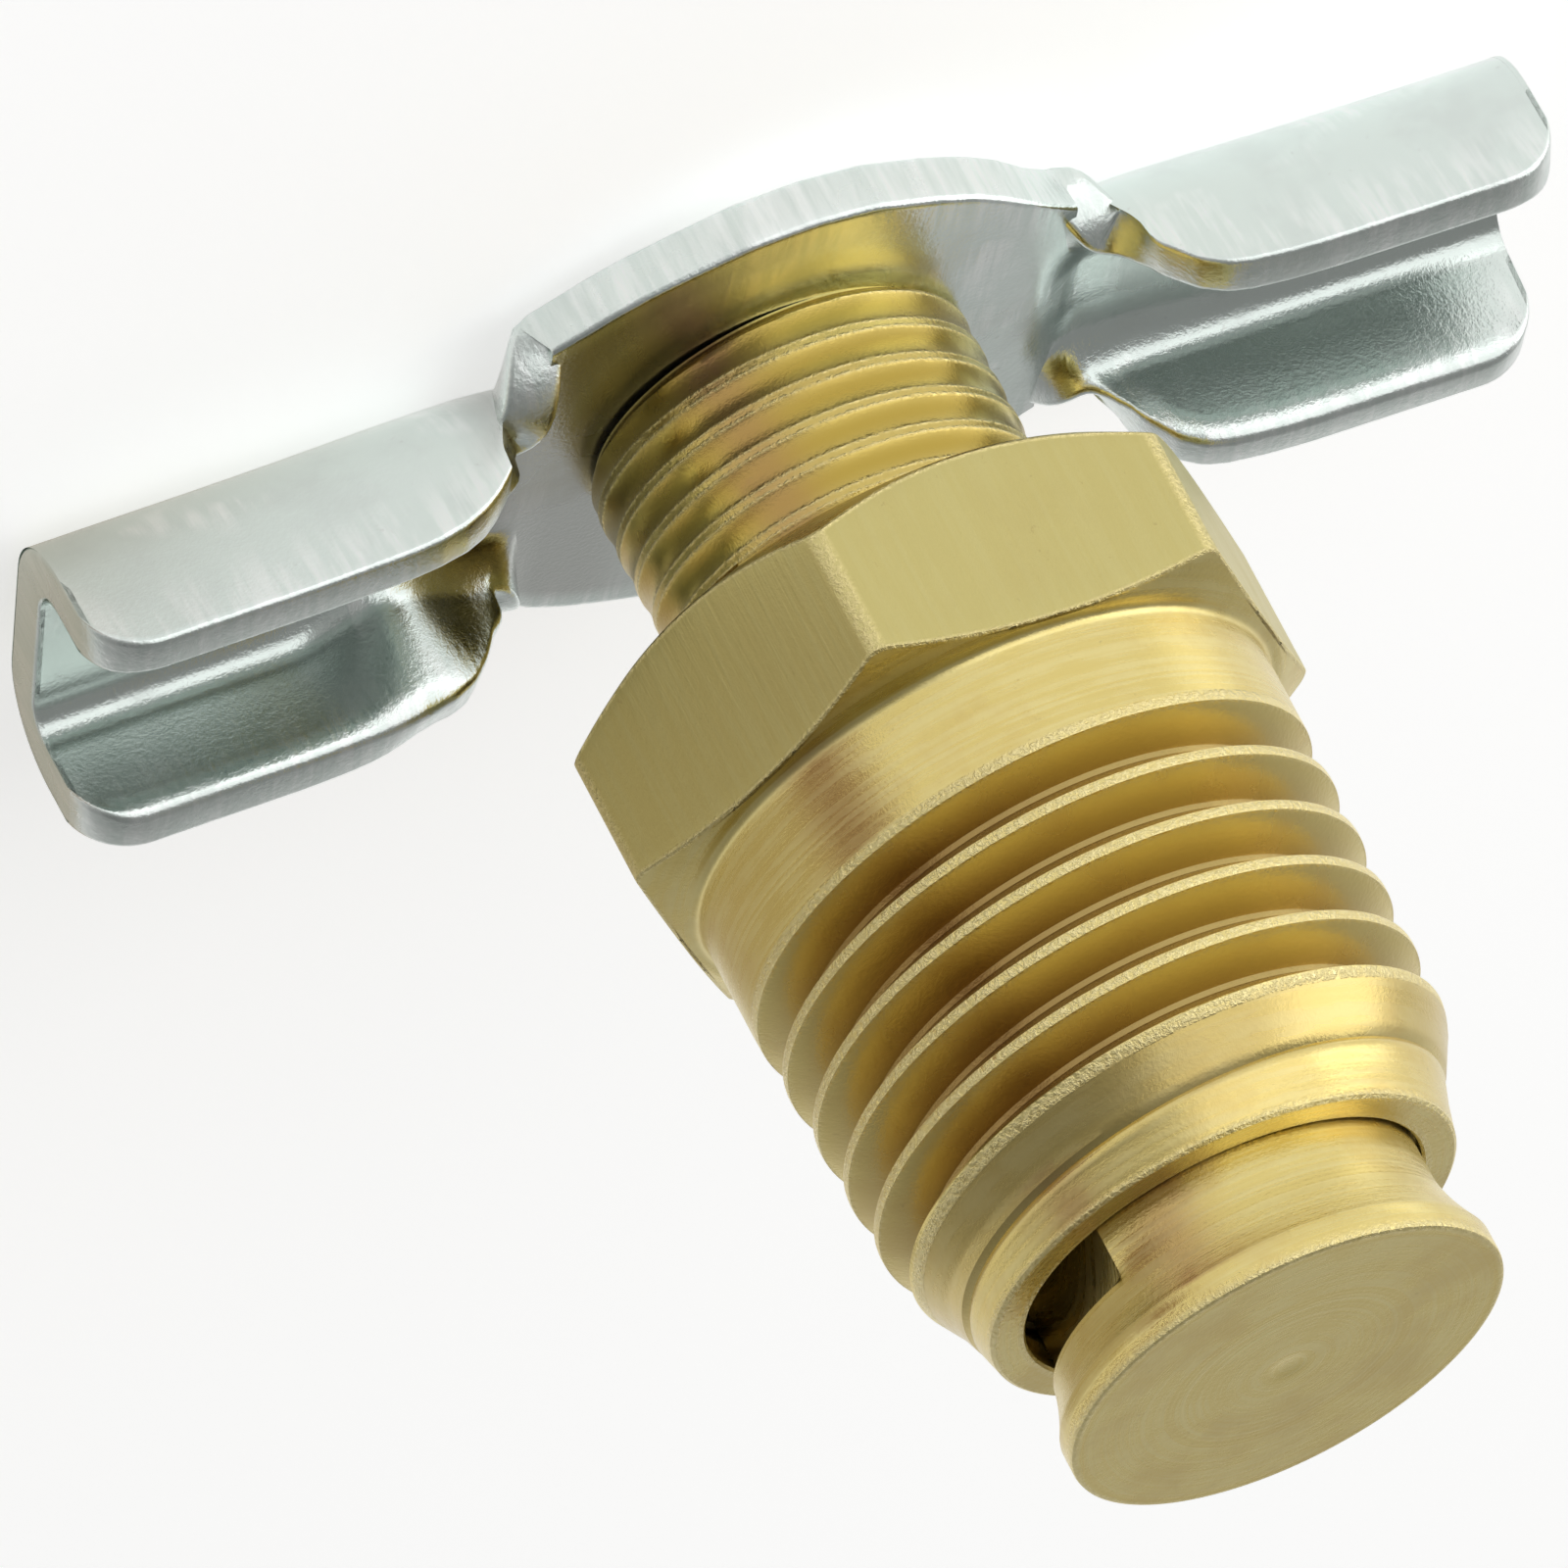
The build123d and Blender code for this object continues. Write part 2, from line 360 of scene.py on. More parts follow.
def valve_body():
    """Hexagon, shank, pipe thread, lead-in, rim and bore, as one grid wrapped round the axis."""
    angles = body_angles()
    hex_r = hex_radius(angles)
    corner = 1 - smoothstep(from_hex_corner(angles), radians(0.9), radians(2.0))
    radii, heights, wears, drawns = [], [], [], []

    def add(radius, height, wear=0.0, drawn=0.0):
        for rows, value in ((radii, radius), (heights, height), (wears, wear), (drawns, drawn)):
            rows.append(np.broadcast_to(value, angles.shape))

    # Handle side: chamfered bore edge, face and cone
    handle_slope = HANDLE_SIDE_RISE / (HEX_CORNER_RADIUS - HEX_FACE_RADIUS)
    pipe_slope = PIPE_SIDE_RISE / (HEX_CORNER_RADIUS - HEX_FACE_RADIUS)
    edge = HEX_EDGE
    for radius in (BORE_RADIUS + BORE_CHAMFER, 5.6, 6.4, HEX_FACE_RADIUS - edge):
        add(radius, HEX_FACE_Z)
    lower = HEX_FACE_Z + handle_slope * (hex_r - HEX_FACE_RADIUS)
    upper = SHOULDER_Z - pipe_slope * (hex_r - HEX_FACE_RADIUS)
    for share in (0.35, 0.7):
        add(HEX_FACE_RADIUS + share * (hex_r - HEX_FACE_RADIUS), HEX_FACE_Z + share * (lower - HEX_FACE_Z))
    add(hex_r - 2 * edge, lower - 2 * edge * handle_slope)
    add(hex_r - edge, lower - edge * handle_slope, 0.8)
    add(hex_r - edge * 0.15, lower + edge * 0.4, 1.0, 1.0)
    add(hex_r, lower + 0.1, corner * 0.7, 1.0)
    for share in (0.1, 0.25, 0.5, 0.75, 0.9):
        add(hex_r, lower + share * (upper - lower), corner * 0.7, 1.0)
    add(hex_r, upper - 0.1, corner * 0.7, 1.0)
    add(hex_r - edge * 0.15, upper - edge * 0.4, 1.0, 1.0)
    add(hex_r - edge, upper + edge * pipe_slope, 0.8)
    add(hex_r - 2 * edge, upper + 2 * edge * pipe_slope)
    for share in (0.7, 0.35, 0.1):
        add(HEX_FACE_RADIUS + share * (hex_r - HEX_FACE_RADIUS), SHOULDER_Z - share * (SHOULDER_Z - upper))
    # Shoulder, fillet and shank
    for turn in np.radians(np.linspace(90, 0, 5)):
        add(SHANK_RADIUS + SHANK_FILLET * (1 - cos(turn)), SHOULDER_Z + SHANK_FILLET * (1 - sin(turn)))
    for height in np.linspace(SHOULDER_Z + 0.5, THREAD_START_Z - 0.7, 5):
        add(SHANK_RADIUS, height)

    # Tapered thread: rows follow the helix, and depths are taken off the tapered outside
    steps = (-0.70, -0.64, -0.60, -0.46, -0.32, -0.2, -0.145, -0.115, -0.06,
             0.06, 0.115, 0.145, 0.2, 0.32, 0.46, 0.60, 0.64)
    pipe_z = helix_rows(THREAD_START_Z - 0.6, BODY_END_Z - RIM_EDGE, PIPE_PITCH, 1, steps, angles,
                        PIPE_CREST_Z, PIPE_CREST_ANGLE)
    crest = PIPE_CREST_Z + PIPE_PITCH * (angles - PIPE_CREST_ANGLE) / (2 * pi)
    off = from_crest(pipe_z - crest, PIPE_PITCH)
    cut = pipe_z >= crest - PIPE_PITCH + PIPE_CREST_HALF
    depth = np.where(cut, cut_thread(off, PIPE_CREST_HALF, PIPE_DEPTH), 0)

    # The first groove runs in and the last runs out at the back, and the lead-in is plain
    run_in = smoothstep(angles - angles[0], 0, PIPE_RUN_IN)
    run_out = 1 - smoothstep(angles - angles[-1], -PIPE_RUN_IN, 0)
    last = pipe_z - crest - LAST_CREST * PIPE_PITCH
    depth = np.where(pipe_z < crest - PIPE_CREST_HALF, depth * run_in, depth)
    depth = np.where(last > -PIPE_PITCH + PIPE_CREST_HALF, depth * run_out, depth)
    depth = np.where(last > 0, 0, depth)
    score = np.clip(1 - np.abs(last - LEAD_SCORE_OFF) / LEAD_SCORE_HALF, 0, 1) * run_in * run_out
    major = SHANK_RADIUS - THREAD_TAPER * np.maximum(pipe_z - THREAD_START_Z, 0)
    lead_off, lead_radii = np.array(LEAD_PROFILE).T
    lead = np.where(pipe_z < LEAD_START_Z + lead_off[0], SHANK_RADIUS,
                    np.interp(pipe_z - LEAD_START_Z, lead_off, lead_radii))
    pipe_r = np.minimum(major - depth, lead) - LEAD_SCORE * score
    land = lead < major - depth

    # Pale, worn crests and rim, and brown grooves
    uncut = (last > 0.13) | (pipe_z < crest - PIPE_PITCH - 0.2)
    pipe_wear = np.where(uncut, 0, 1 - smoothstep(off, 0.09, 0.16))
    pipe_wear = np.where(last > -0.3, pipe_wear * run_out, pipe_wear)
    pipe_wear = np.maximum(pipe_wear, 1 - smoothstep(BODY_END_Z - pipe_z, 0.06, 0.16))
    # Grooves browner down one side: painted reflection
    groove_and_reflection = 0.75 + 0.5 * painted_reflection_side(angles, BODY_REFLECTION_ANGLE, THREAD_REFLECTION_WIDTH)
    pipe_groove = np.where(land, 0, np.clip(depth / PIPE_DEPTH, 0, 1) * groove_and_reflection)
    lead_groove = np.where(last < LEAD_SCORE_OFF, LEAD_BROWN, RIM_BROWN)
    pipe_groove = np.where(last > 0, lead_groove, pipe_groove)

    # Rim and bore with its own, shallower thread
    rim_r, rim_z = ring_rows(
        [(BODY_RIM_RADIUS - RIM_EDGE, BODY_END_Z), (5.3, BODY_END_Z), (4.9, BODY_END_Z),
         (BORE_RADIUS + RIM_EDGE, BODY_END_Z), (BORE_RADIUS, BODY_END_Z - RIM_EDGE)], angles)
    bore_steps = (-0.45, -0.3, -0.15, 0.0, 0.15, 0.3)
    bore_z = helix_rows(HEX_FACE_Z + BORE_CHAMFER, BODY_END_Z - 0.25, STEM_PITCH, -1, bore_steps, angles,
                        STEM_CREST_Z, STEM_CREST_ANGLE)[::-1]
    bore_crest = STEM_CREST_Z - STEM_PITCH * (angles - STEM_CREST_ANGLE) / (2 * pi)
    bore_off = from_crest(bore_z - bore_crest, STEM_PITCH)
    fade = np.clip((BODY_END_Z - bore_z) / BORE_THREAD_SET_BACK - 1, 0, 1)
    bore_r = BORE_RADIUS + fade * cut_thread(bore_off, BORE_CREST_HALF, BORE_THREAD_DEPTH)
    end_r, end_z = ring_rows([(BORE_RADIUS + BORE_CHAMFER, HEX_FACE_Z)], angles)

    radius = np.concatenate([radii, pipe_r, rim_r, bore_r, end_r])
    height = np.concatenate([heights, pipe_z, rim_z, bore_z, end_z])
    piece, row, column = grid_piece("valve_body_brass", radius * np.cos(angles), radius * np.sin(angles),
                                    height)

    # What the metal shows where
    rest = np.zeros((len(radius) - len(radii) - len(pipe_r), len(angles)))
    rest[:len(rim_r)] = np.array([0.8, 0.1, 0.1, 0.8, 0.6])[:, None]
    rest[len(rim_r):-1] = 1 - smoothstep(bore_off, 0.1, 0.2)
    store(piece, "wear", np.concatenate([wears, pipe_wear, rest])[row, column])
    store(piece, "drawn", np.concatenate([drawns, 0 * pipe_r, 0 * rest])[row, column])
    pipe_plain = np.where(land | ~cut, 1.0, 0.12)
    store(piece, "plain", np.concatenate([1 - np.array(drawns), pipe_plain, 1 + 0 * rest])[row, column])
    # Painted reflection: a brown streak down one side of the shank and the lead-in
    on_shank = (height > SHOULDER_Z) & (height < THREAD_START_Z)
    on_lead = height > LEAD_START_Z + 1.1
    painted_reflection = BODY_REFLECTION_SHARE * painted_reflection_side(angles, BODY_REFLECTION_ANGLE, BODY_REFLECTION_WIDTH)
    painted_reflection = painted_reflection * (on_shank | on_lead)
    store(piece, "painted_reflection", painted_reflection[row, column])
    store(piece, "groove", np.concatenate([0 * np.array(radii), pipe_groove, 0 * rest])[row, column])
    close_seams(piece)
    smooth(piece, TURNED_SMOOTH)
    return piece


def stem():
    """Riveted end, fine thread, neck with its drain flat, and head, as one grid wrapped round the axis."""
    flat_edge = np.arccos(FLAT_X / NECK_RADIUS)
    angles = np.sort(np.concatenate([np.radians(np.arange(-180.0, 180.1, 2.0)), [-flat_edge, flat_edge]]))

    # Riveted end, as (radius, height)
    plate_in_z = PLATE_OUT_Z + SHEET
    rivet = [(0, 0.14), (0.35, 0.12), (0.75, 0.03), (0.95, 0), (2.2, 0), (3.4, 0), (3.6, 0.02),
             (3.78, 0.08), (3.87, 0.17), (RIVET_HEAD_RADIUS, 0.28), (RIVET_HEAD_RADIUS, PLATE_OUT_Z - 0.04),
             (RIVET_HEAD_RADIUS - 0.04, PLATE_OUT_Z), (RIVET_RADIUS, PLATE_OUT_Z),
             (RIVET_RADIUS, plate_in_z), (4.1, plate_in_z),
             (STEM_RADIUS - THREAD_END_CHAMFER, plate_in_z + 0.01)]
    rivet_r, rivet_z = ring_rows(rivet, angles)

    # Fine thread: rows follow the helix
    steps = (-0.4535, -0.38, -0.30, -0.23, -0.17, -0.13, -0.105, -0.09, -0.04,
             0.04, 0.09, 0.105, 0.13, 0.17, 0.23, 0.30, 0.38)
    start = plate_in_z + 0.06
    thread_z = helix_rows(start, NECK_START_Z, STEM_PITCH, -1, steps, angles,
                          STEM_CREST_Z, STEM_CREST_ANGLE)
    crest = STEM_CREST_Z - STEM_PITCH * (angles - STEM_CREST_ANGLE) / (2 * pi)
    off = from_crest(thread_z - crest, STEM_PITCH)
    depth = round_thread(off, STEM_PITCH, STEM_CREST_HALF, STEM_DEPTH)
    begin = np.clip((thread_z - start) / THREAD_END_CHAMFER, 0, 1)
    thread_r = STEM_RADIUS - np.maximum(depth, THREAD_END_CHAMFER * (1 - begin))
    on_crest = 0.1 * (off < STEM_CREST_HALF)
    thread_wear = np.clip(1 - np.abs(off - STEM_CREST_HALF) / 0.04, on_crest, 0.75) * begin

    # Neck, flared seat and head with a small centre mark
    neck_z = np.linspace(NECK_START_Z + 0.1, FLARE_START_Z - 0.1, 24)
    flare = np.linspace(0, 1, 13)
    flare_z = FLARE_START_Z + flare * (HEAD_START_Z - FLARE_START_Z)
    flare_r = NECK_RADIUS + (HEAD_RADIUS - NECK_RADIUS) * flare**FLARE_POWER
    points = [(NECK_RADIUS, z) for z in neck_z] + list(zip(flare_r, flare_z))
    edge_row = len(points) + 1
    points += [(HEAD_RADIUS, HEAD_START_Z + 0.25), (HEAD_RADIUS, STEM_END_Z - 0.14),
               (HEAD_RADIUS, STEM_END_Z - 0.09), (HEAD_RADIUS - 0.02, STEM_END_Z - 0.03),
               (HEAD_RADIUS - 0.08, STEM_END_Z), (HEAD_RADIUS - 0.16, STEM_END_Z)]
    points += [(r, STEM_END_Z) for r in (4.6, 3.9, 3.2, 2.4, 1.6, 1.0, 0.6)]
    points += [(0.45, STEM_END_Z - 0.005), (0.25, STEM_END_Z - 0.03), (0.0, STEM_END_Z - 0.04)]
    head_r, head_z = ring_rows(points, angles)
    radius = np.concatenate([rivet_r, thread_r, head_r])
    height = np.concatenate([rivet_z, thread_z, head_z])

    # Drain flat along one side
    across = np.where(np.cos(angles) > 0.1, FLAT_X / np.maximum(np.cos(angles), 0.1), 99.0)
    run = np.clip((height - FLAT_START_Z) / DRAIN_FLAT_RUN_OUT, 0, 1) * (height < SEAT_START_Z + 0.02)
    radius = np.where(run > 0, np.minimum(radius, across + (1 - run) * 2), radius)
    piece, row, column = grid_piece("stem_brass", radius * np.cos(angles), radius * np.sin(angles), height)

    # What the metal shows where
    head_wear = np.zeros_like(head_r)
    edge_wear = np.array([0.5, 1.0, 1.0, 0.6])
    head_wear[edge_row:edge_row + len(edge_wear)] = edge_wear[:, None]
    store(piece, "wear", np.concatenate([0 * rivet_r, thread_wear, head_wear])[row, column])
    store(piece, "drawn", np.zeros(len(row)))
    # Painted reflection: a brown streak down one side, below the head
    painted_reflection = painted_reflection_side(angles, STEM_REFLECTION_ANGLE, STEM_REFLECTION_WIDTH) * (height < HEAD_START_Z)
    store(piece, "painted_reflection", painted_reflection[row, column])
    plain = np.concatenate([1 + 0 * rivet_r, 0.1 + 0 * thread_r, 1 + 0 * head_r])
    store(piece, "plain", plain[row, column])
    groove = np.concatenate([0 * rivet_r, 0.55 + 0.45 * np.clip(depth / STEM_DEPTH, 0, 1), 0 * head_r])
    store(piece, "groove", groove[row, column])
    close_seams(piece)
    smooth(piece, TURNED_SMOOTH)
    return piece


def half_width(outline, away):
    """Half the developed width at a distance from the middle, its corners eased."""
    fine = np.arange(-1.0, 19.0, 0.02)
    places, widths = np.array(outline).T
    exact = np.interp(np.abs(fine), places, widths)
    window = np.hanning(17)
    rounded = np.convolve(np.pad(exact, len(window) // 2, mode="edge"), window / window.sum(), mode="valid")
    return np.interp(away, fine, rounded)


def turned(degrees):
    about_x, about_y, about_z = (Matrix.Rotation(radians(d), 3, axis) for d, axis in zip(degrees, "XYZ"))
    return np.array(about_z @ about_y @ about_x)


def folded_sheet(x, run):
    """Middle surface of the pressed sheet, for a place along the handle and one across it, laid flat."""
    mid_bend = BEND_OUTSIDE - SHEET / 2
    web = WING_HALF_WIDTH - BEND_OUTSIDE
    away, far = np.abs(x), np.abs(run)
    plus, near = x >= 0, run < 0
    full = np.where(plus, np.where(near, FLANGE_BENDS[0][0], FLANGE_BENDS[0][1]),
                    np.where(near, FLANGE_BENDS[1][0], FLANGE_BENDS[1][1]))
    folded = np.where(plus, smoothstep(away, *BEND_RUN[0]), smoothstep(away, *BEND_RUN[1]))
    bend = np.radians(full) * folded
    lean = ROOT_LEAN * np.exp(-(((away - ROOT_LEAN_X) / ROOT_LEAN_WIDTH) ** 2))
    lean = np.radians(lean) * (plus & ~near)
    bend = bend - lean
    turn = np.clip((far - web) / mid_bend, 0, bend)
    beyond = np.maximum(far - web - mid_bend * bend, 0)
    y = np.minimum(far, web) + mid_bend * np.sin(turn) + beyond * np.cos(bend)
    y = y - FLANGE_RUN * np.sin(lean) * smoothstep(far, 0.3, web + mid_bend)
    z = mid_bend * (1 - np.cos(turn)) + beyond * np.sin(bend)
    along_web = smoothstep(away, *DISH_BEGINS) * (1 - smoothstep(away, *DISH_ENDS))
    z = z - WEB_DISH * along_web * (1 - smoothstep(far, *DISH_SIDE))
    flat = np.stack([x, y * np.sign(run), z], -1)
    hub = flat @ turned((0, HUB_TILT, 0)).T
    root = np.array([WING_ROOT_X, 0, 0])
    plus_wing = (flat - root) @ turned(WING_TURNS[0]).T + root
    minus_wing = (flat + root) @ turned(WING_TURNS[1]).T - root
    share = smoothstep(away, *WING_BLEND)[..., None]
    place = hub * (1 - share) + np.where(plus[..., None], plus_wing, minus_wing) * share
    return place + np.array([0, 0, PLATE_OUT_Z + SHEET / 2])


def wing_handle():
    """The pressed sheet with its thickness, as one grid wrapped round it from wing tip to wing tip."""
    step = 0.01

    # Places along one wing, then along both, with half the thickness and half the width there
    tip_start = WING_REACH - TIP_ROUND
    end_turns = np.radians([0, 30, 60, 90, 90])
    side = np.concatenate([np.linspace(0, CLOSE_FROM, 26)[:-1], np.linspace(CLOSE_FROM, CLOSE_TO, 72)[:-1],
                           np.linspace(CLOSE_TO, tip_start, 17)[:-1],
                           tip_start + TIP_ROUND * np.sin(np.linspace(0, pi / 2, 15)[:-2]),
                           WING_REACH - EDGE_ROUND + EDGE_ROUND * np.sin(end_turns)])
    half_sheet = np.full(side.shape, SHEET / 2)
    half_sheet[-len(end_turns):] -= EDGE_ROUND * (1 - np.cos(end_turns))
    half_sheet[-1] = 0
    x = np.concatenate([-side[:0:-1], side])
    half_sheet = np.concatenate([half_sheet[:0:-1], half_sheet])
    away = np.abs(x)
    half = np.where(x >= 0, half_width(WING_OUTLINES[0], away), half_width(WING_OUTLINES[1], away))
    tip = np.clip(away - tip_start, 0, TIP_ROUND)
    half = half - (TIP_ROUND - np.sqrt(np.maximum(TIP_ROUND**2 - tip**2, 0)))

    # Once around the sheet: face, sheared edge, other face, other edge
    face_end = np.linspace(0.86, 1, 12)
    face_middle = np.linspace(-face_end[0], face_end[0], 59)[1:-1]
    face = np.concatenate([-face_end[::-1], face_middle, face_end])
    corner = np.radians([30, 60, 90])
    out = np.concatenate([0 * face, np.sin(corner), np.sin(corner[::-1])])
    level = np.concatenate([np.ones(len(face)), 1 - (1 - np.cos(corner)) * EDGE_ROUND / (SHEET / 2),
                            -1 + (1 - np.cos(corner[::-1])) * EDGE_ROUND / (SHEET / 2)])
    out_sign = np.concatenate([face, np.ones(2 * len(corner))])
    out = np.concatenate([out, out, out[:1]])
    level = np.concatenate([level, -level, level[:1]])
    out_sign = np.concatenate([out_sign, -out_sign, out_sign[:1]])
    run = out_sign[:, None] * (half - EDGE_ROUND)[None, :] + (out * np.sign(out_sign) * EDGE_ROUND)[:, None]

    # Inner faces roll over towards the sheared edge
    steep = np.gradient(half) / np.maximum(np.gradient(x), step)
    from_edge = (half[None, :] - np.abs(run)) / np.sqrt(1 + steep**2)
    on_flange = smoothstep(away, 7.6, 9.4) * (1 - smoothstep(away, WING_REACH - 1.2, WING_REACH - 0.3))
    roll = ROLL_DROP * on_flange * np.clip(1 - from_edge / ROLL_WIDTH, 0, 1) ** 2

    # Thickness, laid along the folded sheet's own normals
    x = np.broadcast_to(x, run.shape)
    along = folded_sheet(x + step, run) - folded_sheet(x - step, run)
    across = folded_sheet(x, run + step) - folded_sheet(x, run - step)
    normal = np.cross(along, across)
    normal /= np.linalg.norm(normal, axis=-1, keepdims=True)
    lift = level[:, None] * half_sheet[None, :] - np.where(level > 0, 1, 0)[:, None] * roll
    place = folded_sheet(x, run) + normal * lift[..., None]
    piece, row, column = grid_piece("wing_handle_plated", place[..., 0], place[..., 1], place[..., 2])
    rim = np.clip((np.abs(run) - (half - EDGE_ROUND)[None, :]) / EDGE_ROUND, 0, 1)
    rim = np.maximum(rim, smoothstep(np.abs(x), WING_REACH - EDGE_ROUND, WING_REACH))
    store(piece, "rim", rim[row, column])
    store(piece, "inward", (half[None, :] - np.abs(run))[row, column])
    close_seams(piece)
    smooth(piece, PRESSED_SMOOTH)
    return piece


def new_node(tree, kind, inputs=None, **settings):
    node = tree.nodes.new(kind)
    for name, value in settings.items():
        setattr(node, name, value)
    for key, value in (inputs or {}).items():
        if isinstance(value, bpy.types.NodeSocket):
            tree.links.new(value, node.inputs[key])
        else:
            node.inputs[key].default_value = value
    return node


def maths(tree, operation, *values):
    return new_node(tree, "ShaderNodeMath", dict(enumerate(values)), operation=operation).outputs[0]


def times(tree, first, second):
    return maths(tree, "MULTIPLY", first, second)


def added(tree, first, second):
    return maths(tree, "ADD", first, second)


def mixed(tree, factor, first, second):
    inputs = {0: factor, 6: first, 7: second}
    return new_node(tree, "ShaderNodeMix", inputs, data_type="RGBA").outputs[2]


def eased(tree, value, low, high, low_to=0.0, high_to=1.0):
    inputs = {"Value": value, "From Min": low, "From Max": high, "To Min": low_to, "To Max": high_to}
    return new_node(tree, "ShaderNodeMapRange", inputs, interpolation_type="SMOOTHSTEP").outputs["Result"]


def scaled(tree, vector, factors):
    node = new_node(tree, "ShaderNodeVectorMath", {0: vector, 1: factors}, operation="MULTIPLY")
    return node.outputs["Vector"]


def noise(tree, vector, scale, detail=2.0, roughness=0.5):
    inputs = {"Vector": vector, "Scale": scale, "Detail": detail, "Roughness": roughness}
    return new_node(tree, "ShaderNodeTexNoise", inputs).outputs["Fac"]


def line_noise(tree, along, scale, detail, roughness):
    inputs = {"W": along, "Scale": scale, "Detail": detail, "Roughness": roughness}
    return new_node(tree, "ShaderNodeTexNoise", inputs, noise_dimensions="1D").outputs["Fac"]


def attribute(tree, name):
    return new_node(tree, "ShaderNodeAttribute", attribute_name=name).outputs["Fac"]


def new_group(name, inputs, outputs):
    tree = bpy.data.node_groups.new(name, "ShaderNodeTree")
    for label, kind in inputs:
        tree.interface.new_socket(label, in_out="INPUT", socket_type=kind)
    for label, kind in outputs:
        tree.interface.new_socket(label, in_out="OUTPUT", socket_type=kind)
    return tree, tree.nodes.new("NodeGroupInput").outputs, tree.nodes.new("NodeGroupOutput").inputs


def use_group(tree, group, inputs):
    return new_node(tree, "ShaderNodeGroup", inputs, node_tree=group).outputs


def turning_marks():
    """Fine rings left by the tool, along the axis on turned sides and along the radius on faces."""
    group, given, out = new_group("turning marks", [("Place", "NodeSocketVector")],
                                  [("Height", "NodeSocketFloat"), ("Streak", "NodeSocketFloat")])
    flat = scaled(group, given["Place"], (1, 1, 0))
    radius = new_node(group, "ShaderNodeVectorMath", {0: flat}, operation="LENGTH").outputs["Value"]
    height = new_node(group, "ShaderNodeSeparateXYZ", {0: given["Place"]}).outputs["Z"]
    along = added(group, radius, height)
    fine = line_noise(group, along, 7.0, 1.5, 0.6)
    broad = line_noise(group, along, 3.0, 2.0, 0.5)
    broken = noise(group, scaled(group, given["Place"], (0.9, 0.9, 3.0)), 1.0)
    group.links.new(fine, out["Height"])
    streak = times(group, times(group, broad, fine), broken)
    group.links.new(eased(group, streak, 0.06, 0.2), out["Streak"])
    return group


def drawn_lines():
    """Fine straight lines, long in the direction the place is squeezed."""
    group, given, out = new_group("drawn lines", [("Place", "NodeSocketVector")],
                                  [("Height", "NodeSocketFloat"), ("Streak", "NodeSocketFloat")])
    fine = noise(group, given["Place"], 8.0, 2.0, 0.6)
    broad = noise(group, given["Place"], 3.5, 2.0)
    group.links.new(fine, out["Height"])
    group.links.new(eased(group, added(group, fine, broad), 0.85, 1.25), out["Streak"])
    return group


def speckle():
    """Small pits and bright grains."""
    group, given, out = new_group("speckle", [("Place", "NodeSocketVector")],
                                  [("Grain", "NodeSocketFloat"), ("Pits", "NodeSocketFloat")])
    fine = noise(group, given["Place"], 9.0, 3.0, 0.7)
    coarse = noise(group, given["Place"], 2.6, 2.0, 0.6)
    group.links.new(eased(group, fine, 0.35, 0.68), out["Grain"])
    group.links.new(eased(group, added(group, fine, coarse), 1.24, 1.42), out["Pits"])
    return group


def tarnish():
    """Soft brown bloom in uneven patches."""
    group, given, out = new_group("tarnish", [("Place", "NodeSocketVector")], [("Mask", "NodeSocketFloat")])
    cloud = noise(group, given["Place"], 0.42, 4.0, 0.6)
    group.links.new(eased(group, cloud, 0.46, 0.72), out["Mask"])
    return group


def new_metal(name):
    """A metal, its shader, and the place on the piece in millimetres."""
    material = bpy.data.materials.new(name)
    material.use_nodes = True
    tree = material.node_tree
    shader = tree.nodes["Principled BSDF"]
    shader.inputs["Metallic"].default_value = 1.0
    place = scaled(tree, new_node(tree, "ShaderNodeTexCoord").outputs["Object"], (1 / MM, 1 / MM, 1 / MM))
    return material, tree, shader, place


def bumped(tree, shader, relief):
    bump = new_node(tree, "ShaderNodeBump", {"Strength": 1.0, "Distance": MM, "Height": relief})
    tree.links.new(bump.outputs["Normal"], shader.inputs["Normal"])


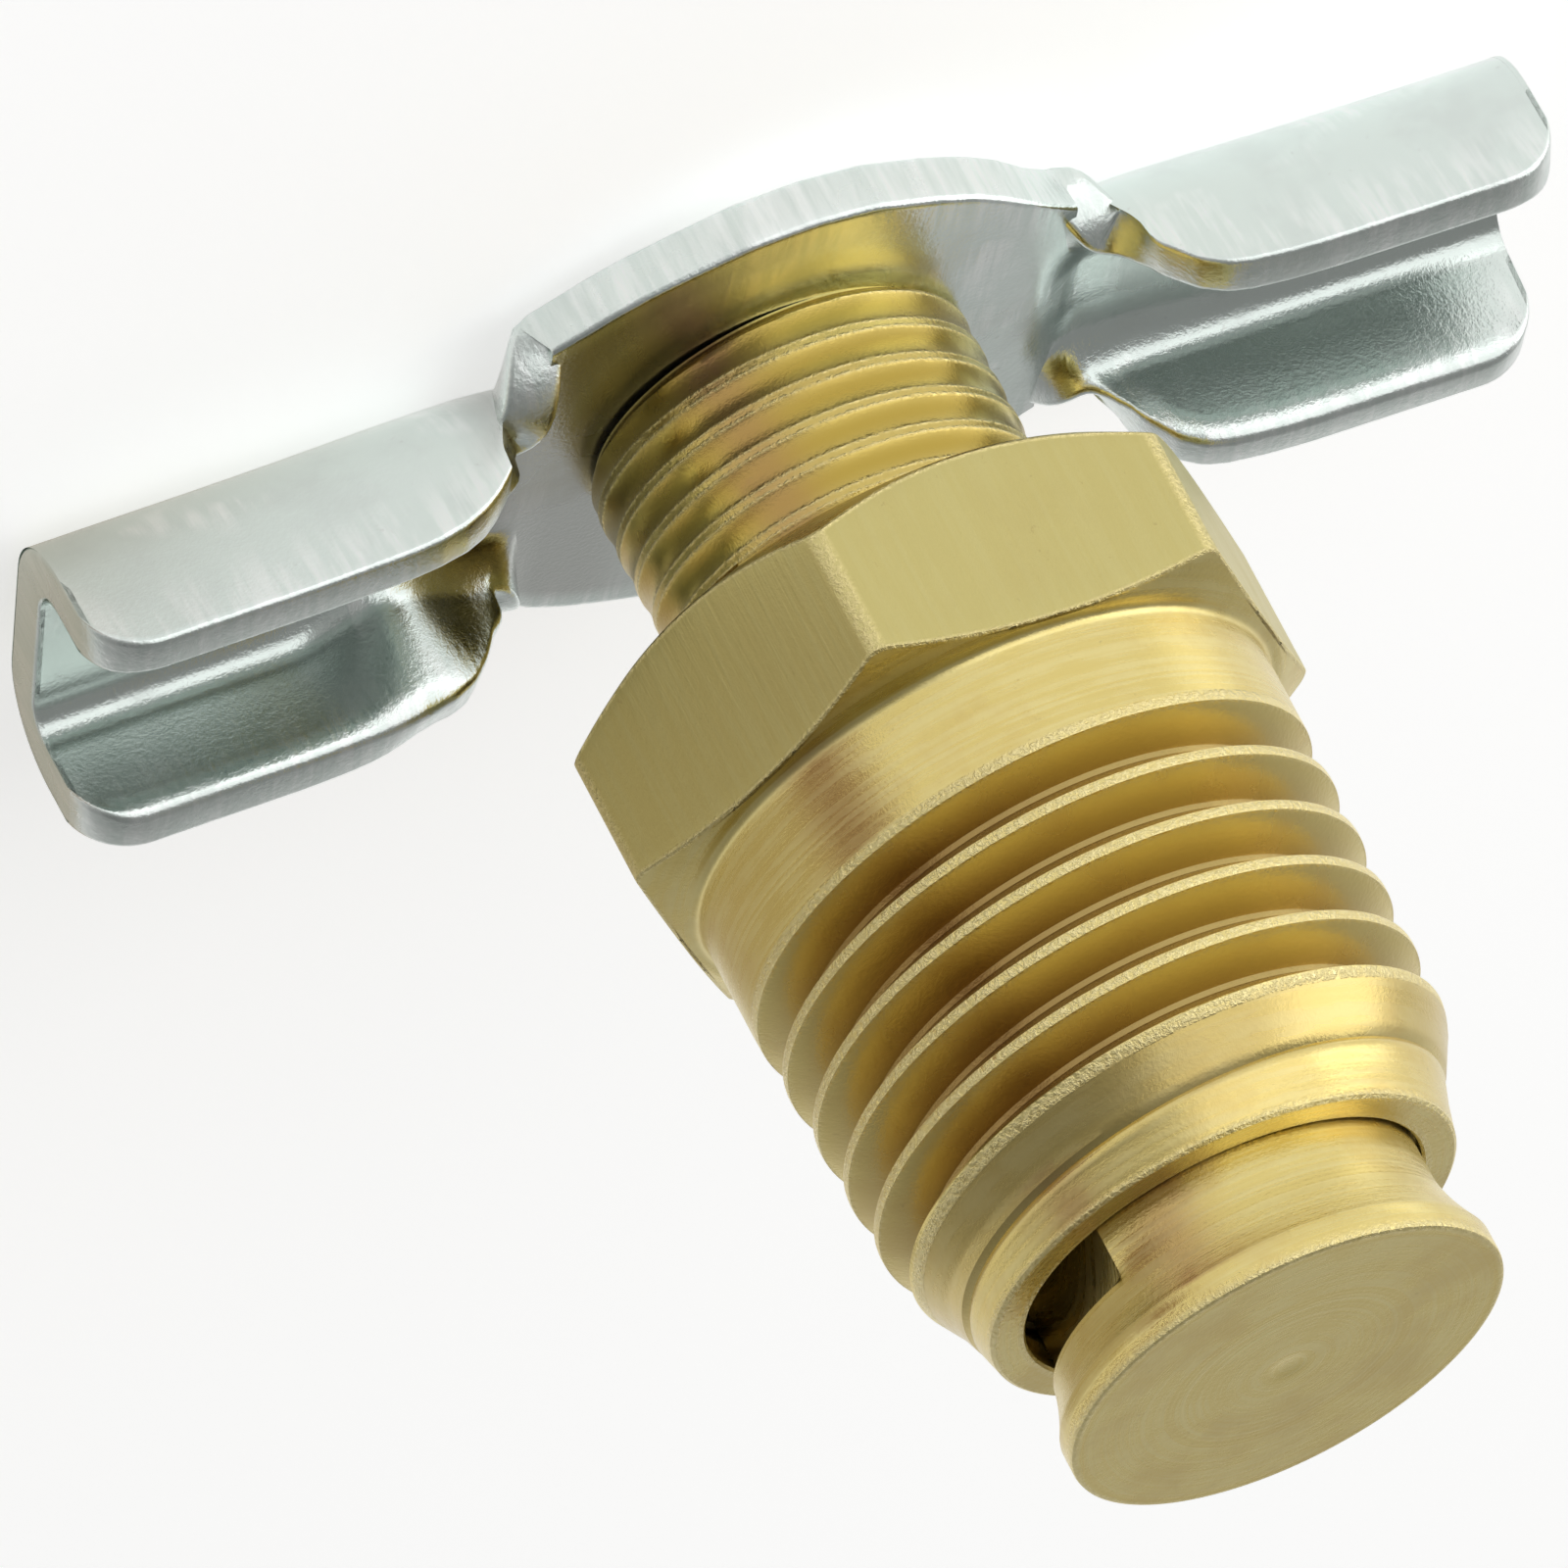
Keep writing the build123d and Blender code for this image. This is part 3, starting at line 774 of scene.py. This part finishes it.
def brass_material(name, groups, groove_tone, groove_share):
    """Brass, turned, drawn, worn or browned where the piece's attributes say so, with a painted brown
    reflection streak down one side.
    """
    turning, drawing, specks, bloom = groups
    material, tree, shader, place = new_metal(name)
    turned_by = use_group(tree, turning, {"Place": place})
    drawn_by = use_group(tree, drawing, {"Place": scaled(tree, place, (1, 1, 0.05))})
    grains = use_group(tree, specks, {"Place": place})
    brown = use_group(tree, bloom, {"Place": place})["Mask"]
    drawn, plain, wear, groove = (attribute(tree, key) for key in ("drawn", "plain", "wear", "groove"))

    streak = added(tree, times(tree, turned_by["Streak"], plain), times(tree, drawn_by["Streak"], drawn))
    colour = mixed(tree, streak, BRASS, BRASS_PALE)
    # Painted reflection: the brown streak, patchy with the bloom
    reflection_share = times(tree, attribute(tree, "painted_reflection"), eased(tree, brown, 0.0, 0.5, 0.65, 1.0))
    colour = mixed(tree, times(tree, brown, BROWN_SHARE), colour, BRASS_BROWN)
    colour = mixed(tree, times(tree, groove, groove_share), colour, groove_tone)
    colour = mixed(tree, reflection_share, colour, BRASS_REFLECTION_BROWN)
    colour = mixed(tree, times(tree, drawn, DRAWN_SHARE), colour, BRASS_DRAWN)
    colour = mixed(tree, times(tree, grains["Pits"], BRASS_PIT_SHARE), colour, BRASS_DARK)
    ragged = times(tree, wear, eased(tree, grains["Grain"], 0.0, 0.75, 0.35, 1.0))
    colour = mixed(tree, ragged, colour, BRASS_WORN)
    tree.links.new(colour, shader.inputs["Base Color"])

    rough = added(tree, times(tree, drawn, DRAWN_ROUGH), times(tree, streak, STREAK_ROUGH))
    rough = added(tree, rough, times(tree, brown, BROWN_ROUGH))
    tree.links.new(added(tree, rough, BRASS_ROUGHNESS), shader.inputs["Roughness"])

    relief = times(tree, times(tree, turned_by["Height"], plain), TURNED_RELIEF)
    relief = added(tree, relief, times(tree, times(tree, drawn_by["Height"], drawn), DRAWN_RELIEF))
    relief = added(tree, relief, times(tree, times(tree, grains["Grain"], wear), WORN_RELIEF))
    relief = added(tree, relief, times(tree, grains["Grain"], BRASS_GRAIN_RELIEF))
    bumped(tree, shader, relief)
    return material


def plated_material(name, groups):
    """Plated steel, with strokes from pressing on its faces and sheared edges, and a painted reflection
    darkening the hub.
    """
    drawing, specks, bloom = groups
    material, tree, shader, place = new_metal(name)
    sheared = use_group(tree, drawing, {"Place": scaled(tree, place, (0.8, 0.8, 0.07))})
    pressed = use_group(tree, drawing, {"Place": scaled(tree, place, (0.6, 0.05, 0.08))})
    grains = use_group(tree, specks, {"Place": place})
    dull = use_group(tree, bloom, {"Place": place})["Mask"]
    rim, inward = attribute(tree, "rim"), attribute(tree, "inward")
    face = maths(tree, "SUBTRACT", 1.0, rim)
    patchy = eased(tree, noise(tree, scaled(tree, place, (0.35, 0.5, 0.5)), 1.0, 3.0), 0.5, 0.68)
    edge_band = eased(tree, inward, 0.3, 1.9, 0.8, 0.0)
    strokes = times(tree, pressed["Streak"], maths(tree, "MAXIMUM", patchy, edge_band))
    # Painted reflection of the brass body: the hub beside the stem is darkened
    x_place = new_node(tree, "ShaderNodeSeparateXYZ", {0: place}).outputs["X"]
    on_hub = times(tree, eased(tree, x_place, 0.5, 4.0), eased(tree, x_place, 6.8, 8.6, 1.0, 0.0))
    painted_hub_reflection = times(tree, on_hub, eased(tree, inward, 0.2, 0.9))

    colour = mixed(tree, dull, ZINC, ZINC_DULL)
    colour = mixed(tree, times(tree, strokes, STROKE_SHARE), colour, ZINC_BRIGHT)
    colour = mixed(tree, times(tree, grains["Pits"], ZINC_PIT_SHARE), colour, ZINC_DARK)
    colour = mixed(tree, times(tree, painted_hub_reflection, HUB_REFLECTION_SHARE), colour, ZINC_DARK)
    sheared_tone = mixed(tree, sheared["Streak"], ZINC_DULL, ZINC_BRIGHT)
    colour = mixed(tree, times(tree, rim, SHEARED_SHARE), colour, sheared_tone)
    tree.links.new(colour, shader.inputs["Base Color"])

    satin = added(tree, times(tree, dull, DULL_ROUGH), times(tree, rim, SHEARED_ROUGH))
    satin = added(tree, satin, times(tree, eased(tree, inward, 3.2, 5.5), MIDDLE_ROUGH))
    tree.links.new(added(tree, satin, ZINC_ROUGHNESS), shader.inputs["Roughness"])

    relief = times(tree, times(tree, sheared["Height"], rim), SHEARED_RELIEF)
    relief = added(tree, relief, times(tree, times(tree, strokes, face), STROKE_RELIEF))
    relief = added(tree, relief, times(tree, grains["Grain"], ZINC_GRAIN_RELIEF))
    bumped(tree, shader, relief)
    return material


def softbox(name, place, size, power):
    """A square lamp facing the middle of the object."""
    deselect_all()
    bpy.ops.object.light_add(type="AREA", location=place)
    lamp = bpy.context.object
    lamp.name = name
    lamp.rotation_euler = (Vector((0, 0, 0.01)) - Vector(place)).to_track_quat("-Z", "Y").to_euler()
    lamp.data.shape = "SQUARE"
    lamp.data.size = size
    lamp.data.energy = power


def reflector(name, colour, centre, size, turn, soft):
    """A card lying beside the object, seen in reflections only, soft towards its edges."""
    deselect_all()
    bpy.ops.mesh.primitive_circle_add(vertices=48, radius=1, fill_type="NGON")
    card = bpy.context.object
    card.name = name
    card.location = Vector(centre) * MM
    card.rotation_euler = (0, 0, radians(turn))
    card.scale = (size[0] * MM, size[1] * MM, 1)
    card.visible_camera = False
    card.visible_diffuse = False
    card.visible_transmission = False
    card.visible_shadow = False
    paint = bpy.data.materials.new(name)
    paint.use_nodes = True
    tree = paint.node_tree
    tree.nodes.remove(tree.nodes["Principled BSDF"])
    where = new_node(tree, "ShaderNodeTexCoord").outputs["Object"]
    away = new_node(tree, "ShaderNodeVectorMath", {0: where}, operation="LENGTH").outputs["Value"]
    glow = new_node(tree, "ShaderNodeEmission", {"Color": (*colour, 1)})
    clear = new_node(tree, "ShaderNodeBsdfTransparent")
    cover = eased(tree, away, soft, 1.0, low_to=1.0, high_to=0.0)
    both = new_node(tree, "ShaderNodeMixShader", {0: cover, 1: clear.outputs[0], 2: glow.outputs[0]})
    tree.links.new(both.outputs[0], tree.nodes["Material Output"].inputs["Surface"])
    card.data.materials.append(paint)


# Pieces and their metals
body_piece = valve_body()
stem_piece = stem()
handle_piece = wing_handle()
marks, lines, specks, bloom = turning_marks(), drawn_lines(), speckle(), tarnish()
body_brass = brass_material("brass body", (marks, lines, specks, bloom), BRASS_GROOVE, BODY_GROOVE_SHARE)
stem_brass = brass_material("brass stem", (marks, lines, specks, bloom), BRASS_GOLD, STEM_GROOVE_SHARE)
plated = plated_material("bright plated steel", (lines, specks, bloom))
for piece, material in ((body_piece, body_brass), (stem_piece, stem_brass), (handle_piece, plated)):
    piece.data.materials.clear()
    piece.data.materials.append(material)

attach(body_piece, "valve_body")
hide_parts("valve_body")
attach(stem_piece, "stem")
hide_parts("stem")
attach(handle_piece, "wing_handle")
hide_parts("wing_handle")

# Floor
deselect_all()
bpy.ops.mesh.primitive_plane_add(size=2.0, location=(0, 0, 0))
floor = bpy.context.object
floor.name = "floor"
floor_paint = bpy.data.materials.new("pale floor")
floor_paint.use_nodes = True
floor_shader = floor_paint.node_tree.nodes["Principled BSDF"]
floor_shader.inputs["Base Color"].default_value = FLOOR
floor_shader.inputs["Roughness"].default_value = FLOOR_ROUGHNESS
floor_shader.inputs["Emission Color"].default_value = (1, 1, 1, 1)
floor_shader.inputs["Emission Strength"].default_value = FLOOR_GLOW
floor.data.materials.append(floor_paint)

# Camera
view_from = Vector((
    sin(CAMERA_AZIMUTH) * cos(CAMERA_ELEVATION),
    -cos(CAMERA_AZIMUTH) * cos(CAMERA_ELEVATION),
    sin(CAMERA_ELEVATION),
))
forward = -view_from
level_up = (Vector((0, 0, 1)) - forward * forward.z).normalized()
level_right = forward.cross(level_up)
camera_up = cos(CAMERA_ROLL) * level_up + sin(CAMERA_ROLL) * level_right
camera_right = forward.cross(camera_up)
deselect_all()
bpy.ops.object.camera_add()
camera = bpy.context.object
facing = Matrix((camera_right, camera_up, -forward)).transposed().to_4x4()
camera.matrix_world = Matrix.Translation((CAMERA_AIM + view_from * CAMERA_DISTANCE) * MM) @ facing
camera.data.lens = CAMERA_LENS
camera.data.sensor_width = CAMERA_SENSOR
camera.data.clip_start = 0.05
camera.data.clip_end = 20
bpy.context.scene.camera = camera

# Light: a room bright at the horizon and dim overhead, two softboxes and three cards
world = bpy.data.worlds.new("studio")
bpy.context.scene.world = world
world.use_nodes = True
room = world.node_tree
towards = new_node(room, "ShaderNodeTexCoord").outputs["Generated"]
compass = new_node(room, "ShaderNodeSeparateXYZ", {0: towards}).outputs
overhead = eased(room, compass["Z"], 0.42, 0.9, low_to=0.52, high_to=0.28)
horizon = eased(room, compass["Z"], 0.04, 0.36, low_to=0.38, high_to=0.0)
dim_side = eased(room, compass["X"], -0.1, 0.8, low_to=1.0, high_to=0.6)
glow = times(room, added(room, overhead, horizon), dim_side)
room.links.new(glow, room.nodes["Background"].inputs["Strength"])
room.nodes["Background"].inputs["Color"].default_value = (1, 1, 0.98, 1)

softbox("side softbox", place=(-0.30, -0.10, 0.13), size=0.26, power=0.32)
softbox("front softbox", place=(-0.15, -0.42, 0.17), size=0.50, power=0.60)
reflector("bright card", (1.5, 1.5, 1.46), centre=(-45, -11, 0.2), size=(30, 12), turn=6, soft=0.3)
reflector("grey card", (0.50, 0.45, 0.37), centre=(34, 20, 0.2), size=(36, 40), turn=0, soft=0.6)
reflector("brown card", (0.24, 0.125, 0.08), centre=(42, -22, 0.3), size=(25, 15), turn=-33, soft=0.45)

bpy.context.scene.view_settings.view_transform = "Standard"
